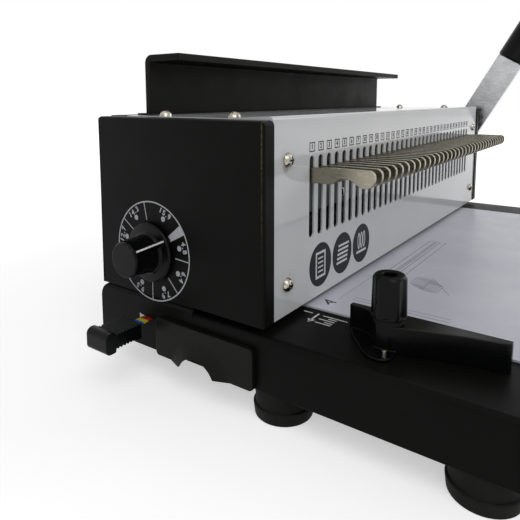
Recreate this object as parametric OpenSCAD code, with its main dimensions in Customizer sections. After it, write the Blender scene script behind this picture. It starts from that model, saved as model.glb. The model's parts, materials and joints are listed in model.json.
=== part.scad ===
// Wire binding machine for 3:1 double-loop wire.
// A sheet stack goes under the white front panel, a row of pins punches it, and
// the press bar behind the top closes the wire to the size set on the end dial.
// Every module is drawn from the front left foot of the panel: X runs along
// the front, Y to the rear, Z up. place() then moves it to the row's origin.

/* [Binding pattern] */
// Number of holes, slots and fingers
holes = 34; // [24:1:34]
// Distance from hole to hole
pitch = 8.467; // [8:0.001:9]
// Distance from the end of the body to the first hole
side_margin = 41; // [41:0.5:60]
// Side of one square hole
hole_side = 4; // [3.6:0.1:4.4]

/* [Body] */
// Height of the white front panel
body_h = 90.3; // [89:0.1:92]
// Depth of the body from the front panel to the rear cover
body_d = 106; // [106:0.5:112]
// Width of the rim of each end cover
end_rim = 7.8; // [6:0.1:8.4]
// Radius of the bend between the front panel and the top
panel_bend = 1.8; // [1.6:0.1:2.4]
// Sheet thickness of the base and the black covers
sheet = 1.5; // [1:0.1:1.5]
// Sheet thickness of the white front and top cover
panel_t = 1; // [0.8:0.1:1.5]
// Lower end of the finger slots
slot_low = 32; // [28:0.5:32]
// Upper end of the finger slots
slot_high = 72; // [70:0.5:76]
// Width of one finger slot
slot_w = 4.7; // [3:0.1:5]

/* [Table and base] */
// How far the table reaches in front of the panel
table_depth = 107; // [100:1:140]
// How far the base reaches behind the panel
base_rear = 109.2; // [108.5:0.1:114]
// How far the table lies below the foot of the panel
table_drop = 3; // [3]
// How far the lower edge of the base lies below the foot of the panel
base_drop = 28.3; // [28.3:0.1:32]
// Where the raised rear part of the base starts
step_y = 41; // [41]
// Radius of the soft bend along the edges of the table
table_bend = 3; // [2:0.5:4]
// Height of the rubber feet
foot_h = 14.1; // [10:0.1:20]
// Diameter of the disc at the bottom of a foot
foot_d = 28; // [22:1:30]

/* [Fingers and press bar] */
// Thickness of one finger
finger_t = 2; // [1.6:0.1:2.4]
// How far the fingers stand out of the panel
finger_reach = 32.4; // [28:0.1:36]
// Underside of the fingers when the carriage is up
finger_low = 58.7; // [58.5:0.1:60]
// Height of a finger's head
finger_h = 8.4; // [8:0.1:9]
// Top of the press bar when the carriage is up
bar_top = 122.8; // [118:0.1:126]
// Thickness of the press bar
bar_t = 3.8; // [3:0.1:4]
// Depth of the press bar's flange
flange_d = 25.8; // [18:0.1:28]

/* [Dial] */
// Centre of the dial, behind the front panel
dial_y = 67.4; // [66:0.1:69]
// Centre of the dial, above the foot of the panel
dial_z = 23.5; // [23.5]
// Radius of the skirt of the dial knob
skirt_r = 15; // [13:0.5:16]
// Length of the dial knob
knob_l = 18; // [14:0.5:20]

/* [Chip drawer and margin selector] */
// Front edge of the drawer's front plate
drawer_y0 = 3.4; // [3.4]
// Rear edge of the drawer's front plate
drawer_y1 = 63.4; // [63.4]
// Length of the drawer's tray
drawer_l = 350; // [200:1:352]
// How far the selector's grip stands out of the base
grip_out = 29.8; // [29:0.1:34]
// Centre of the selector's grip, behind the front panel
grip_y = 74.5; // [74.5]

/* [Edge guide] */
// Place of the guide's fence, from the end of the body
fence_x = 32; // [30:0.5:33]
// Height of the top of the guide
guide_top = 8.7; // [8:0.1:10]
// Centre of the lock knob, from the end of the body
lock_x = 21.5; // [21.5]
// Centre of the lock knob, behind the panel (negative is in front)
lock_y = -48; // [-48]

/* [Handle] */
// Angle of the raised handle above the horizontal
handle_rise = 60; // [50:1:64]
// Distance from the shaft to the end of the grip
handle_l = 212; // [180:1:230]
// Diameter of the handle's grip
handle_d = 26; // [22:1:30]
// Turn of the handle from raised to fully pulled
handle_turn = 64; // [64]
// Centre of the main shaft, behind the front panel
shaft_y = 30; // [30]
// Centre of the main shaft, above the foot of the panel
shaft_z = 40; // [40]

/* [Hidden] */
body_w = 2 * side_margin + (holes - 1) * pitch;
reach_r = body_w + 23.6;
mid_x = (reach_r - grip_out) / 2;
mid_y = (base_rear - table_depth) / 2;
rise = base_drop + foot_h;

// Thickness of the inner steel parts and where they stand
frame_x = 10;
frame_t = 4;
frame_rear = 98;
slide_x = 26;
slide_t = 3;
rack_t = 6;
shaft_r = 7;
running = 0.05;

// Punching unit
die_y0 = 12;
die_y1 = 30;
die_top = -2;
die_low = -9;
gap_top = 0.4;
guide_plate_top = 12;
pin_y = 22;
pin_low = 2;
punch_stroke = 9;
cam_r0 = 8.5;
punch_top = shaft_z - cam_r0 - 0.1;
punch_low = 21.2;
punch_x0 = slide_x + slide_t + rack_t + 1.5;

// Rack and toothed sector that lower the carriage
gear_module = 1.5;
gear_teeth = 30;
gear_r = gear_module * gear_teeth / 2;
tooth_pitch = PI * gear_module;
backlash = 0.12;
pressure = 20;
carriage_stroke = gear_r * handle_turn * PI / 180;
rack_y = shaft_y - gear_r;

// Carriage
slide_low = 58;
slide_high = 84;
bar_y = 94.2;
finger_bar_y = 4.2;
finger_bar_t = 2.5;
finger_bar_low = 43;
finger_bar_high = 70;
rod_r = 4;
rod_x = 20;
rod_ys = [50, 86];

// Wire sizes on the dial, and the angle of each above the front direction
wire_step = 1.5875;
dial_angles = [13, -26.5, -66.5, -114.5, -155, -194.5, -233, -295.5];
park_angle = 33;

function hole_x(i) = side_margin + i * pitch;

// Moves a module from the panel's front left foot to the row's origin
module place() translate([-mid_x, -mid_y, rise]) children();

// Extrudes a shape drawn in Y and Z along X, from x0 over the length l
module along_x(x0, l) translate([x0, 0, 0]) rotate([90, 0, 90]) linear_extrude(l) children();

// Extrudes a shape drawn in X and Z along Y, from y0 over the length l
module along_y(y0, l) translate([0, y0 + l, 0]) rotate([90, 0, 0]) linear_extrude(l) children();

// Extrudes a shape drawn in X and Y along Z, from z0 up to z1
module along_z(z0, z1) translate([0, 0, z0]) linear_extrude(z1 - z0) children();

module block(x0, x1, y0, y1, z0, z1) translate([x0, y0, z0]) cube([x1 - x0, y1 - y0, z1 - z0]);

module rod_x(x0, x1, y, z, r) translate([x0, y, z]) rotate([0, 90, 0]) cylinder(h = x1 - x0, r = r, $fn = 64);

module rod_y(x, y0, y1, z, r) translate([x, y0, z]) rotate([-90, 0, 0]) cylinder(h = y1 - y0, r = r, $fn = 64);

module rod_z(x, y, z0, z1, r) translate([x, y, z0]) cylinder(h = z1 - z0, r = r, $fn = 64);

// Mirrors what stands at the left end to the right end
module right_end() translate([body_w, 0, 0]) mirror([1, 0, 0]) children();

module both_ends() { children(); right_end() children(); }

// A rectangle from p0 to p1 whose corners have the radii [low left, low right, high right, high left]
module soft_rect(p0, p1, radii) {
  corners = [p0, [p1[0], p0[1]], p1, [p0[0], p1[1]]];
  inward = [[1, 1], [-1, 1], [-1, -1], [1, -1]];
  difference() {
    translate(p0) square(p1 - p0);
    for (k = [0:3]) if (radii[k] > 0)
      translate(corners[k]) difference() {
        translate([inward[k][0] < 0 ? -radii[k] : -1, inward[k][1] < 0 ? -radii[k] : -1])
          square(radii[k] + 1);
        translate(radii[k] * inward[k]) circle(r = radii[k], $fn = 64);
      }
  }
}

// A slot with round ends, centred on x, from z0 up to z1
module round_slot(x, z0, z1, w) {
  translate([x - w / 2, z0 + w / 2]) square([w, z1 - z0 - w]);
  for (z = [z0 + w / 2, z1 - w / 2]) translate([x, z]) circle(d = w, $fn = 32);
}

// A pan-head screw that points into the body along +Y, head outside at y
module pan_screw_y(x, y, z, head_r, head_h, shank_l) {
  translate([x, y, z]) rotate([90, 0, 0]) pan_head(head_r, head_h);
  rod_y(x, y, y + shank_l, z, head_r * 0.5);
}

// A pan-head screw that points down, head outside at z
module pan_screw_z(x, y, z, head_r, head_h, shank_l) {
  translate([x, y, z]) pan_head(head_r, head_h);
  rod_z(x, y, z - shank_l, z, head_r * 0.5);
}

// Domed head with a cross recess, standing on z = 0
module pan_head(r, h) {
  ball = (r * r + h * h) / (2 * h);
  difference() {
    intersection() {
      translate([0, 0, h - ball]) sphere(r = ball, $fn = 64);
      cylinder(h = h, r = r, $fn = 64);
    }
    for (a = [0, 90]) rotate(a) translate([-r * 0.55, -r * 0.13, h * 0.45]) cube([r * 1.1, r * 0.26, h]);
  }
}

// Base and feet

// One closed box of the base, with soft long edges, from y0 to y1 and up to z1
module base_block(y0, y1, z1, front_r, rear_r, grow = 0) {
  intersection() {
    along_x(grow, body_w - 2 * grow)
      soft_rect([y0 + grow, -base_drop - grow], [y1 - grow, z1 - grow], [0, 0, rear_r, front_r]);
    along_y(y0 - 1, y1 - y0 + 2)
      soft_rect([grow, -base_drop - 1], [body_w - grow, z1 - grow], [0, 0, table_bend - grow, table_bend - grow]);
  }
}

module base_shell() color("#1c1e1d") difference() {
  union() {
    base_block(-table_depth, step_y + 1, -table_drop, table_bend, 0);
    base_block(step_y, base_rear, 0, 0, 8.5);
  }
  base_block(-table_depth, step_y, -table_drop, table_bend - sheet, 0, sheet);
  block(sheet, body_w - sheet, step_y - 2 * sheet, step_y + 2 * sheet, -base_drop - 1, -table_drop - sheet);
  base_block(step_y, base_rear, 0, 0, 8.5 - sheet, sheet);
  // Opening for the drawer, and the strip's slot
  block(-1, sheet + 1, 4.4, 61.6, -base_drop - 1, tray_top + 0.5);
  block(-1, sheet + 1, strip_y0 - 0.4, strip_y1 + 0.4, strip_low - 0.4, strip_top + 0.4);
  // Room for the die and for the gauge's tab
  block(frame_x + 2, body_w - frame_x - 2, die_y0, die_y1, -6, 1);
  block(43, 57, die_y1 - 1, 39, -6, 1);
  // Slot for the edge guide's lock screw
  block(lock_x - 6.7, lock_x + 7.7, lock_y - 2.7, lock_y + 2.7, -6, 1);
}

foot_places = [[13.6, -2.4], [14, -table_depth + 18], [42, 88]];

module at_feet() both_ends() for (p = foot_places) translate([p[0], p[1], -base_drop]) children();

module bottom_plate() color("#2a2c2b") difference() {
  block(sheet, body_w - sheet, -table_depth + sheet, base_rear - sheet, -base_drop, -base_drop + 1);
  at_feet() translate([0, 0, -1]) cylinder(h = 3, r = 2.6, $fn = 32);
}

module rubber_feet() color("#141414") at_feet() difference() {
  union() {
    translate([0, 0, -foot_h + 6]) cylinder(h = foot_h - 6, d = foot_d - 2, $fn = 64);
    translate([0, 0, -foot_h]) cylinder(h = 5.4, d1 = foot_d - 1.4, d2 = foot_d, $fn = 64);
    translate([0, 0, -foot_h + 5.4]) cylinder(h = 0.6, d1 = foot_d, d2 = foot_d - 1.2, $fn = 64);
  }
  translate([0, 0, -foot_h - 1]) cylinder(h = foot_h + 2, r = 2.5, $fn = 32);
  translate([0, 0, -foot_h - 1]) cylinder(h = 6, r = 5, $fn = 32);
}

module foot_screws() color("#b9b9b4") at_feet() {
  translate([0, 0, -foot_h + 5]) cylinder(h = foot_h - 3, r = 2.5, $fn = 32);
  difference() {
    translate([0, 0, -foot_h + 2.5]) cylinder(h = 2.5, r = 4.6, $fn = 32);
    for (a = [0, 90]) rotate(a) translate([-3, -0.6, -foot_h + 2]) cube([6, 1.2, 1.6]);
  }
}

module table_plate() color("#f1f2f6")
  block(39.5, body_w - 39.5, -table_depth + 11, die_y0 - 4.2, -table_drop, -table_drop + 1);

// Inner frame

// One side frame: it hangs over the paper gap from its rear leg
module side_frame() difference() {
  union() {
    along_x(frame_x, frame_t) {
      translate([9, gap_top]) square([frame_rear - 9, 85 - gap_top]);
      translate([42, 0]) square([frame_rear - 42, 1]);
      for (z = [8.7, 66]) translate([panel_t, z]) square([9, 12]);
    }
    // Tabs that hold the cover's front and top screws
    for (z = [8.7, 66]) block(frame_x, 25, panel_t, panel_t + 3, z, z + 12);
    block(frame_x, 25, 12, 85, 85, body_h - panel_t);
  }
  // Half lap for the strap
  block(frame_x + 2, 26, 37.5, 62.5, 86.4, body_h);
  rod_x(frame_x - 1, frame_x + frame_t + 1, shaft_y, shaft_z, 10);
  for (z = [14.7, 72]) rod_y(19.5, 0, 6, z, 1.7);
  for (y = top_screw_ys) rod_z(top_screw_x, y, 84, body_h, 1.7);
  for (y = [42, 58]) rod_z(18, y, 84, body_h, 1.5);
}

module left_frame() color("#8d9092") difference() {
  side_frame();
  rod_x(frame_x - 1, frame_x + frame_t + 1, dial_y, dial_z, 7);
}

module right_frame() color("#8d9092") right_end() side_frame();

module at_strap_screws() both_ends() for (y = [42, 58]) translate([18, y, 85]) children();

module frame_strap() color("#8d9092") difference() {
  union() {
    block(25, body_w - 25, 38, 62, 85, body_h - panel_t);
    block(frame_x + 2.5, body_w - frame_x - 2.5, 38, 62, 86.4, body_h - panel_t);
  }
  at_strap_screws() cylinder(h = 8, r = 1.5, $fn = 32);
}

module strap_screws() color("#b9b9b4") at_strap_screws()
  translate([0, 0, -1]) cylinder(h = body_h - panel_t - 84, r = 1.5, $fn = 32);

module tie_bar() color("#9a9da0") rod_x(frame_x + frame_t, body_w - frame_x - frame_t, 94.2, 6, 3.5);

module guide_rods() color("#d5d7d8") both_ends() for (y = rod_ys) rod_z(rod_x, y, 0, 85, rod_r);

// Bush for the main shaft, with a flange outside the frame
module shaft_bush() difference() {
  union() {
    rod_x(frame_x, frame_x + frame_t, shaft_y, shaft_z, 10);
    rod_x(frame_x - 1.2, frame_x, shaft_y, shaft_z, 12);
  }
  rod_x(frame_x - 3, frame_x + frame_t + 1, shaft_y, shaft_z, shaft_r + running);
}

module shaft_bushes() color("#b08d4f") both_ends() shaft_bush();

module dial_bush() color("#b08d4f") difference() {
  union() {
    rod_x(frame_x - 3, frame_x + frame_t, dial_y, dial_z, 7);
    rod_x(frame_x + frame_t, frame_x + frame_t + 2, dial_y, dial_z, 9);
  }
  rod_x(0, 20, dial_y, dial_z, 4 + running);
}

// Points of a helix of radius r about the X axis at (shaft_y, shaft_z)
function coil_point(x0, pitch_x, r, a) =
  [x0 + pitch_x * a / 360, shaft_y + r * cos(a), shaft_z + r * sin(a)];

// A wire of radius w wound over the given turns; each ring has the listed sides
module coil(x0, pitch_x, r, w, turns) {
  sides = 8;
  rings = turns * 16;
  pts = [for (i = [0:rings]) for (s = [0:sides - 1])
    let (a = i * 360 / 16, b = s * 360 / sides)
      coil_point(x0, pitch_x, r + w * cos(b), a) + [w * sin(b), 0, 0]];
  walls = [for (i = [0:rings - 1]) for (s = [0:sides - 1])
    let (t = (s + 1) % sides)
      [i * sides + s, i * sides + t, (i + 1) * sides + t, (i + 1) * sides + s]];
  ends = [[for (s = [sides - 1:-1:0]) s], [for (s = [0:sides - 1]) rings * sides + s]];
  polyhedron(points = pts, faces = concat(walls, ends), convexity = 8);
}

// Each torsion spring bears on the frame and has a leg that points at the shaft
module handle_springs() color("#6e7072") both_ends() {
  coil(frame_x + frame_t + 0.9, 2.1, 9.4, 0.9, 4);
  translate([frame_x + frame_t + 9.3, shaft_y, shaft_z]) rotate([-90, 0, 0])
    translate([0, 0, shaft_r + 0.15]) cylinder(h = 2.4, r = 0.7, $fn = 16);
}

module spring_posts() color("#9a9da0") both_ends() rod_z(42, 46, 0, 13, 3);

// A compression spring of stacked rings between two closed ends
module ring_spring(x, y, z0, z1, r, w, turns) {
  for (k = [0:turns]) translate([x, y, z0 + w + k * (z1 - z0 - 2 * w) / turns])
    rotate_extrude($fn = 48) translate([r, 0]) circle(r = w, $fn = 16);
  for (k = [0:turns - 1]) let (h = (z1 - z0 - 2 * w) / turns)
    translate([x + (k % 2 == 0 ? r : -r), y, z0 + w + k * h]) cylinder(h = h, r = w * 0.8, $fn = 16);
}

module punch_springs() color("#6e7072") both_ends() ring_spring(42, 46, 0, 24, 4.6, 0.7, 7);

// Punching unit

module square_holes(z0, z1, side) for (i = [0:holes - 1])
  block(hole_x(i) - side / 2, hole_x(i) + side / 2, pin_y - side / 2, pin_y + side / 2, z0, z1);

module die_plate() color("#a9acae") difference() {
  union() {
    block(frame_x + 2, body_w - frame_x - 2, die_y0, die_y1, die_low, die_top);
    block(frame_x + 2, body_w - frame_x - 2, die_y0 - 4, die_y0, -table_drop, die_top);
  }
  square_holes(die_low - 1, die_top + 1, hole_side + 0.1);
}

module guide_plate() color("#a9acae") difference() {
  block(frame_x + frame_t, body_w - frame_x - frame_t, 10, 30, gap_top, guide_plate_top);
  square_holes(gap_top - 1, guide_plate_top + 1, hole_side + 0.1);
}

module punch_bar() color("#8d9092") difference() {
  union() {
    block(punch_x0, body_w - punch_x0, 14, 30, punch_low, punch_top);
    both_ends() block(punch_x0, 48, 30, 52, 24, punch_top);
  }
  square_holes(punch_low - 1, punch_top - 2, hole_side);
}

module punch_pins() color("#c9cbcc") square_holes(pin_low, punch_top - 2, hole_side);

module pin_keeper() color("#9a9da0") block(hole_x(0) - 3, hole_x(holes - 1) + 3, 30, 31.5, punch_low, 23.8);

// Support function of the cam: its reach below the shaft at the turn a
function cam_reach(a) = cam_r0 + punch_stroke * a / handle_turn;
cam_slope = punch_stroke / (handle_turn * PI / 180);

module punch_cam() {
  circle(r = cam_r0, $fn = 64);
  polygon(concat(
    [for (a = [0:4:handle_turn])
      cam_reach(a) * [-sin(a), -cos(a)] + cam_slope * [-cos(a), sin(a)]],
    [[-4, cam_r0 - 1], [0, cam_r0], [0, -cam_r0]]));
}

module punch_cams() color("#a9acae") both_ends() along_x(60, 8) translate([shaft_y, shaft_z]) difference() {
  punch_cam();
  circle(r = shaft_r, $fn = 64);
}

// Sector with involute teeth

function involute(a) = tan(a) * 180 / PI - a;
function flank_angle(r) =
  90 / gear_teeth - backlash * 90 / PI / gear_r + involute(pressure)
  - involute(acos(min(1, gear_r * cos(pressure) / r)));

// One tooth that points along angle a
module gear_tooth(a) {
  base_r = gear_r * cos(pressure);
  radii = [for (k = [0:5]) base_r + (gear_r + gear_module - base_r) * k / 5];
  polygon(concat(
    [(gear_r - 2.5 * gear_module) * [cos(a + flank_angle(base_r)), sin(a + flank_angle(base_r))]],
    [for (r = radii) r * [cos(a + flank_angle(r)), sin(a + flank_angle(r))]],
    [for (k = [5:-1:0]) let (r = radii[k]) r * [cos(a - flank_angle(r)), sin(a - flank_angle(r))]],
    [(gear_r - 2.5 * gear_module) * [cos(a - flank_angle(base_r)), sin(a - flank_angle(base_r))]]));
}

module lift_sector() difference() {
  union() {
    circle(r = 11, $fn = 64);
    intersection() {
      circle(r = gear_r - 1.25 * gear_module, $fn = 96);
      polygon([[0, 0], 40 * [-cos(18), -sin(18)], 40 * [-1, 0.6], 40 * [-cos(82), sin(82)]]);
    }
    for (k = [-1:6]) gear_tooth(180 - k * 360 / gear_teeth);
  }
  circle(r = shaft_r, $fn = 64);
}

module lift_sectors() color("#a9acae")
  both_ends() along_x(slide_x + slide_t + 0.3, rack_t - 0.6) translate([shaft_y, shaft_z]) lift_sector();

module lift_rack() {
  half = tooth_pitch / 4 - backlash / 2;
  lean = gear_module * tan(pressure);
  root = rack_y - 1.25 * gear_module;
  translate([2.2, 28]) square([root - 2.2, 56]);
  for (k = [-1:6]) translate([rack_y, shaft_z + (k + 0.5) * tooth_pitch])
    polygon([[-1.25 * gear_module, -half - 1.25 * lean], [gear_module, -half + lean],
      [gear_module, half - lean], [-1.25 * gear_module, half + 1.25 * lean]]);
}

module lift_racks() color("#a9acae") both_ends() along_x(slide_x + slide_t, rack_t) lift_rack();

// Handle

module main_shaft() color("#c9cbcc") rod_x(frame_x - 1, body_w + 14.6, shaft_y, shaft_z, shaft_r);

// Turns what points along +Y to the raised handle's direction
module on_handle() translate([body_w, shaft_y, shaft_z]) rotate([180 - handle_rise, 0, 0]) children();

module handle_arm() color("#b7b9ba") on_handle() difference() {
  union() {
    rod_x(1, 16.6, 0, 0, 17);
    along_x(6.6, 8) {
      translate([0, -12]) square([handle_l - 20, 24]);
      translate([handle_l - 20, 0]) circle(r = 12, $fn = 64);
    }
  }
  rod_x(0, 14.6, 0, 0, shaft_r);
  rod_x(14, 18, 0, 0, 2.5);
  // The part of the arm inside the grip is narrower
  for (s = [-1, 1]) block(5, 16, handle_l - 102, handle_l, s > 0 ? 9 : -13, s > 0 ? 13 : -9);
  translate([0, handle_l - 11, 0]) block(5, 16, 0, 12, -13, 13);
}

module handle_grip() color("#161616") on_handle() translate([10.6, handle_l, 0]) rotate([90, 0, 0]) difference() {
  rotate_extrude($fn = 64) soft_rect([0, 0], [handle_d / 2, 102], [0, 9, 2, 0]);
  translate([-4, -9, 11]) cube([8, 18, 100]);
}

module hub_screw() color("#b9b9b4") on_handle() {
  rod_x(14.6, 16.6, 0, 0, 2.5);
  difference() {
    rod_x(16.6, 20.6, 0, 0, 5);
    translate([18.6, 0, 0]) rotate([0, 90, 0]) cylinder(h = 4, r = 2.6, $fn = 6);
  }
}

// Carriage with the fingers in front and the press bar behind

// The plate's notch clears the main shaft, and its recess clears the size cam,
// which only the nose in the middle of the recess can meet
module slide_plate() along_x(slide_x, slide_t) {
  notch_r = shaft_r + 1;
  notch_z = shaft_z + carriage_stroke + notch_r;
  difference() {
    union() {
      translate([2.2, slide_low]) square([bar_y - 2.2, slide_high - slide_low]);
      translate([2.2, 28]) square([3, 56]);
    }
    translate([shaft_y - notch_r, slide_low - 1]) square([2 * notch_r, notch_z - notch_r - slide_low + 1]);
    translate([shaft_y, notch_z - notch_r]) circle(r = notch_r, $fn = 64);
    translate([dial_y - 21, slide_low - 1]) square([42, 13]);
  }
  translate([dial_y - 2, slide_low]) square([4, 14]);
}

module left_slide() color("#9a9da0") slide_plate();

module right_slide() color("#9a9da0") right_end() slide_plate();

module slide_bushes() color("#b08d4f") both_ends() for (y = rod_ys) difference() {
  block(14.5, slide_x, y - 6, y + 6, 60, 80);
  rod_z(rod_x, y, 59, 81, rod_r + running);
}

bar_x0 = slide_x + slide_t + rack_t;

// Points of an arc from angle a0 to a1
function arc(y, z, r, a0, a1) = [for (k = [0:6]) let (a = a0 + (a1 - a0) * k / 6) [y + r * cos(a), z + r * sin(a)]];

// One finger, drawn in Y and Z: a rounded head, and an arch in which a wire loop lies
module finger_shape() {
  tip = -finger_reach;
  top = finger_low + finger_h;
  polygon(concat(
    [[finger_bar_y, finger_low + 0.3], [tip + 22, finger_low + 0.4], [tip + 20.6, finger_low + 0.9],
      [tip + 17.6, finger_low + 3.2], [tip + 16.6, finger_low + 3.5], [tip + 12.6, finger_low + 3.5],
      [tip + 11.6, finger_low + 3.2], [tip + 7.6, finger_low + 0.6], [tip + 6.2, finger_low]],
    arc(tip + 4.4, finger_low + 4.4, 4.4, 270, 180),
    arc(tip + 2.9, top - 2.9, 2.9, 180, 90),
    [[-12, top], [finger_bar_y, top - 1]]));
  translate([finger_bar_y - 1, finger_low + 2]) square([finger_bar_t + 1, finger_h - 4]);
}

module fingers() color("#b9b3a4")
  for (i = [0:holes - 1]) along_x(hole_x(i) - finger_t / 2, finger_t) finger_shape();

module finger_bar() color("#8f9aa3") difference() {
  block(bar_x0, body_w - bar_x0, finger_bar_y, finger_bar_y + finger_bar_t, finger_bar_low, finger_bar_high);
  for (i = [0:holes - 1]) block(hole_x(i) - finger_t / 2, hole_x(i) + finger_t / 2,
    finger_bar_y - 1, finger_bar_y + finger_bar_t + 1, finger_low + 2, finger_low + finger_h - 2);
  for (i = screw_gaps) rod_y(hole_x(i), finger_bar_y - 1, finger_bar_y + 4, 48, 1.5);
}

module finger_keeper() color("#8f9aa3")
  block(bar_x0 + 1, body_w - bar_x0 - 1, finger_bar_y + finger_bar_t, finger_bar_y + finger_bar_t + 1.5, 55, 69);

screw_gaps = [5, 13, 20, 28];

module carriage_screws() color("#b9b9b4") for (i = screw_gaps)
  pan_screw_y(hole_x(i), finger_bar_y, 48, 3, 1.6, finger_bar_t);

module press_bar() color("#1b1c1c") along_x(slide_x, body_w - 2 * slide_x) difference() {
  soft_rect([bar_y + bar_t - flange_d, slide_low], [bar_y + bar_t, bar_top], [0, 0, 4.6, 0]);
  soft_rect([bar_y + bar_t - flange_d - 1, slide_low - 1], [bar_y, bar_top - bar_t], [0, 0, 1.1, 0]);
}

// Angle brackets between the side plates and the press bar, each with two rivets
module bar_brackets() color("#9a9da0") both_ends() {
  block(slide_x + slide_t, slide_x + slide_t + 2, 78, bar_y, 62, 80);
  block(slide_x + slide_t + 2, slide_x + slide_t + 14, bar_y - 2, bar_y, 62, 80);
  for (z = [67, 75]) {
    translate([slide_x + slide_t + 9, bar_y - 2, z]) rotate([90, 0, 0]) pan_head(2.5, 1.4);
    translate([slide_x + slide_t + 2, 84, z]) rotate([0, 90, 0]) pan_head(2.5, 1.4);
  }
}

// Covers

// The rims of the end covers lie a little below the white top
rim_top = body_h - 0.4;
// Outer radius of the folds of the end covers
fold_r = 1.3;
// The white sheet rises towards the bend at its front
crest = body_h + 1.2;
hem_x = end_rim + 0.1;
top_screw_x = 17;
top_screw_ys = [28, 73];

module end_cover() color("#1f2221") difference() {
  intersection() {
    along_x(0, end_rim) soft_rect([-1, gap_top], [body_d + 1, rim_top], [1, 0, 3, 2.5]);
    along_z(0, rim_top) soft_rect([0, -1], [end_rim, body_d + 1], [fold_r, 0.5, 0.5, fold_r]);
    along_y(-1, body_d + 2) soft_rect([0, 0], [end_rim, rim_top], [0, 0, 0.9, fold_r]);
  }
  along_x(sheet, end_rim)
    soft_rect([0, -1], [body_d, rim_top - 1], [0, 0, sheet, sheet]);
}

// The lower edge comes down to the base behind the paper gap
module cover_skirt() color("#1f2221") {
  block(0, sheet, step_y, body_d + 1, 0, gap_top);
  block(sheet, end_rim, body_d, body_d + 1, 0, gap_top);
}

module left_cover() difference() {
  union() {
    end_cover();
    cover_skirt();
  }
  rod_x(-1, sheet + 1, dial_y, dial_z, 5);
}

module right_cover() right_end() difference() {
  union() {
    end_cover();
    cover_skirt();
  }
  rod_x(-1, sheet + 1, shaft_y, shaft_z, shaft_r + 1.5);
}

top_rear = 92.5;

// Section of the front and the top, drawn in Y and Z at the depth d inside the sheet
module cover_section(d) polygon(concat(
  [[d, gap_top - 2 * d]],
  [for (a = [180:-10:90]) [panel_bend + (panel_bend - d) * cos(a), crest - panel_bend + (panel_bend - d) * sin(a)]],
  [[24, body_h - d], [top_rear + d, body_h - d], [top_rear + d, gap_top - 2 * d]]));

// Room for the rims of the end covers
module rim_room() both_ends() block(-1, hem_x, -2, body_d + 2, rim_top - 2.6, crest + 1);

module top_cover() color("#eef0f4") difference() {
  union() {
    along_x(sheet + 0.5, body_w - 2 * sheet - 1) difference() {
      cover_section(0);
      cover_section(panel_t);
    }
    // Hem turned down beside each rim
    both_ends() along_x(hem_x, panel_t) intersection() {
      cover_section(0);
      translate([0, rim_top - 4]) square([top_rear, 10]);
    }
  }
  rim_room();
  along_y(-1, panel_t + 2) for (i = [0:holes - 1]) round_slot(hole_x(i), slot_low, slot_high, slot_w);
  both_ends() {
    for (z = [14.7, 72]) rod_y(19.5, -1, 3, z, 1.7);
    for (y = top_screw_ys) rod_z(top_screw_x, y, body_h - 3, body_h + 1, 1.7);
  }
}

// The press bar comes up through a slot in the rear cover's top
module bar_slot(z0, z1) block(slide_x - 0.5, body_w - slide_x + 0.5, bar_y - 0.5, bar_y + bar_t + 0.5, z0, z1);

module rear_cover() color("#1f2221") difference() {
  along_x(sheet + 0.5, body_w - 2 * sheet - 1) difference() {
    soft_rect([top_rear, 0], [body_d, body_h], [0, 0, sheet, 0]);
    translate([top_rear - 1, -1]) square([body_d - sheet - top_rear + 1, body_h - sheet + 1]);
  }
  rim_room();
  bar_slot(body_h - 3, body_h + 1);
}

module slot_trim() color("#111111") difference() {
  block(slide_x - 3.6, body_w - slide_x + 3.6, top_rear - 1.5, 101, body_h, body_h + 0.8);
  bar_slot(body_h - 1, body_h + 2);
}

module cover_screws() color("#c8c2ae") both_ends() {
  for (z = [14.7, 72]) pan_screw_y(19.5, 0, z, 3.4, 2.8, 4);
  for (y = top_screw_ys) pan_screw_z(top_screw_x, y, body_h, 3.4, 2.8, 4);
}

// Dial

// Local frame: +Z points out of the left end along the dial's axis
module on_dial() translate([0, dial_y, dial_z]) rotate([0, -90, 0]) children();

ridge_foot = [skirt_r - 0.5, 3.4];
ridge_head = [9, knob_l - 1];

module dial_knob() color("#151616") on_dial() difference() {
  union() {
    rotate_extrude($fn = 96) polygon([
      [0, 0.4], [skirt_r - 0.6, 0.4], [skirt_r, 1], [skirt_r, 2.4], [skirt_r - 0.6, 3],
      [10.6, 3.5], [9.5, 4.6], [9.2, 9], [8.8, knob_l - 1.2], [8.3, knob_l], [0, knob_l]]);
    // Pointer ridge from the cap down to the skirt, with sloping flanks
    rotate(park_angle - 90) intersection() {
      rotate([90, 0, 0]) linear_extrude(12, center = true)
        polygon([[0, 1], ridge_foot - [0, 1.4], ridge_foot, ridge_head, [8.3, knob_l], [0, knob_l]]);
      translate([ridge_head[0], 0, ridge_head[1]])
        rotate([0, 90 + atan2(ridge_head[1] - ridge_foot[1], ridge_foot[0] - ridge_head[0]), 0])
        translate([0, 0, -10]) linear_extrude(40)
        polygon([[-1, -0.55], [-1, 0.55], [0, 0.55], [2.2, 1], [12, 3.6], [12, -3.6], [2.2, -1], [0, -0.55]]);
    }
  }
  translate([0, 0, -1]) cylinder(h = 12, r = 4, $fn = 48);
}

module dial_spindle() color("#c9cbcc") rod_x(-11, slide_x + slide_t, dial_y, dial_z, 4);

// Reach of the cam at each wire size; the parked sector between the last and
// the first size has the least reach, so that punching alone is never stopped
function cam_step(k) = carriage_low - dial_z - 0.2 + k * wire_step;
carriage_low = slide_low - carriage_stroke;

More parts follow.
